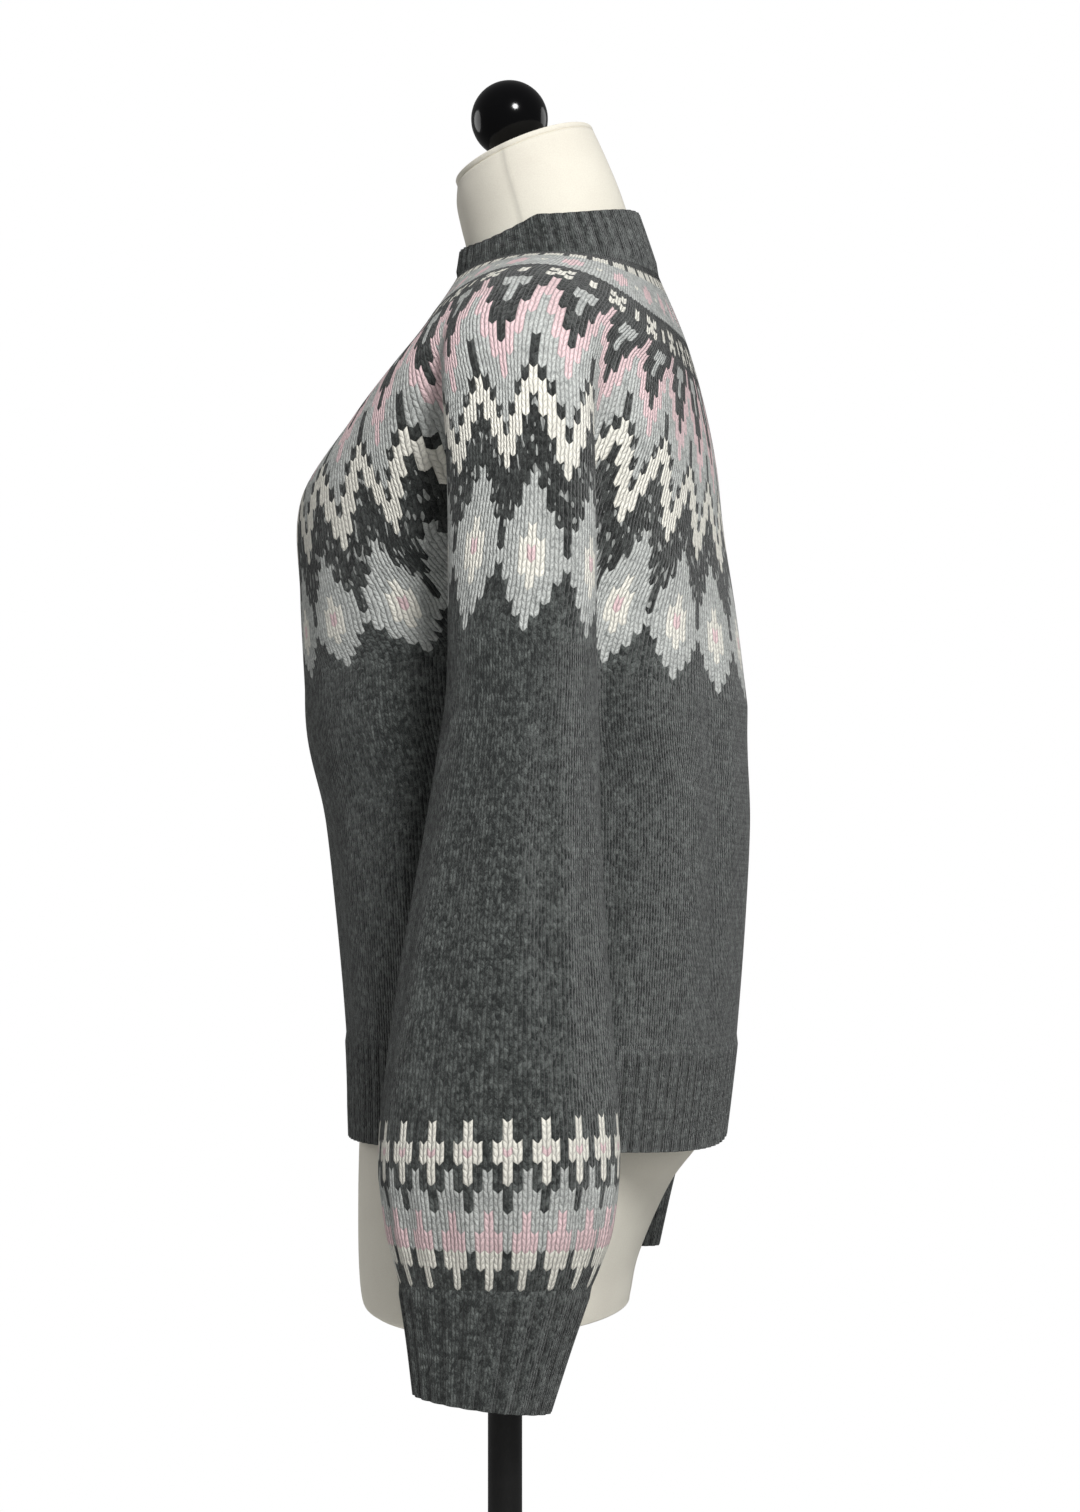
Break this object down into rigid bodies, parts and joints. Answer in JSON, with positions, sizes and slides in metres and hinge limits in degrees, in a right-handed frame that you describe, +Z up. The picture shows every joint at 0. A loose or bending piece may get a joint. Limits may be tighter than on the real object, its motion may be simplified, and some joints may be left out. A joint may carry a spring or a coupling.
{
  "type": "jacquard sweater on a dress form",
  "caption": "Wool jumper with a round patterned yoke, full gathered sleeves and ribbed neck, cuffs and hem, worn by a limbless dress form on a pole stand with a round base.",
  "frame": {"origin": "centre of the base's underside, under the pole, on the floor", "axes": "+Z up, -Y towards the garment's front, +X towards the wearer's left"},
  "size_m": [0.493, 0.32, 1.4984],
  "materials": {
    "jacquard_knit": "heathered wool, colour pattern knitted in",
    "charcoal_knit": "heathered wool, plain knit",
    "charcoal_rib": "heathered wool, ribbed knit",
    "cream_canvas": "stretched cotton cover, matte",
    "black_gloss": "high gloss",
    "black_metal": "satin black paint"
  },
  "bodies": {
    "root": {"yoke": "jacquard_knit", "body_front": "charcoal_knit", "body_back": "charcoal_knit", "hem_rib_front": "charcoal_rib", "hem_rib_back": "charcoal_rib", "sleeve_left": "jacquard_knit", "sleeve_right": "jacquard_knit", "cuff_left": "charcoal_rib", "cuff_right": "charcoal_rib", "collar_rib": "charcoal_rib", "form_torso": "cream_canvas", "form_neck_cap": "cream_canvas", "form_finial": "black_gloss", "stand_pole": "black_metal", "stand_base": "black_metal"}
  },
  "joints": []
}
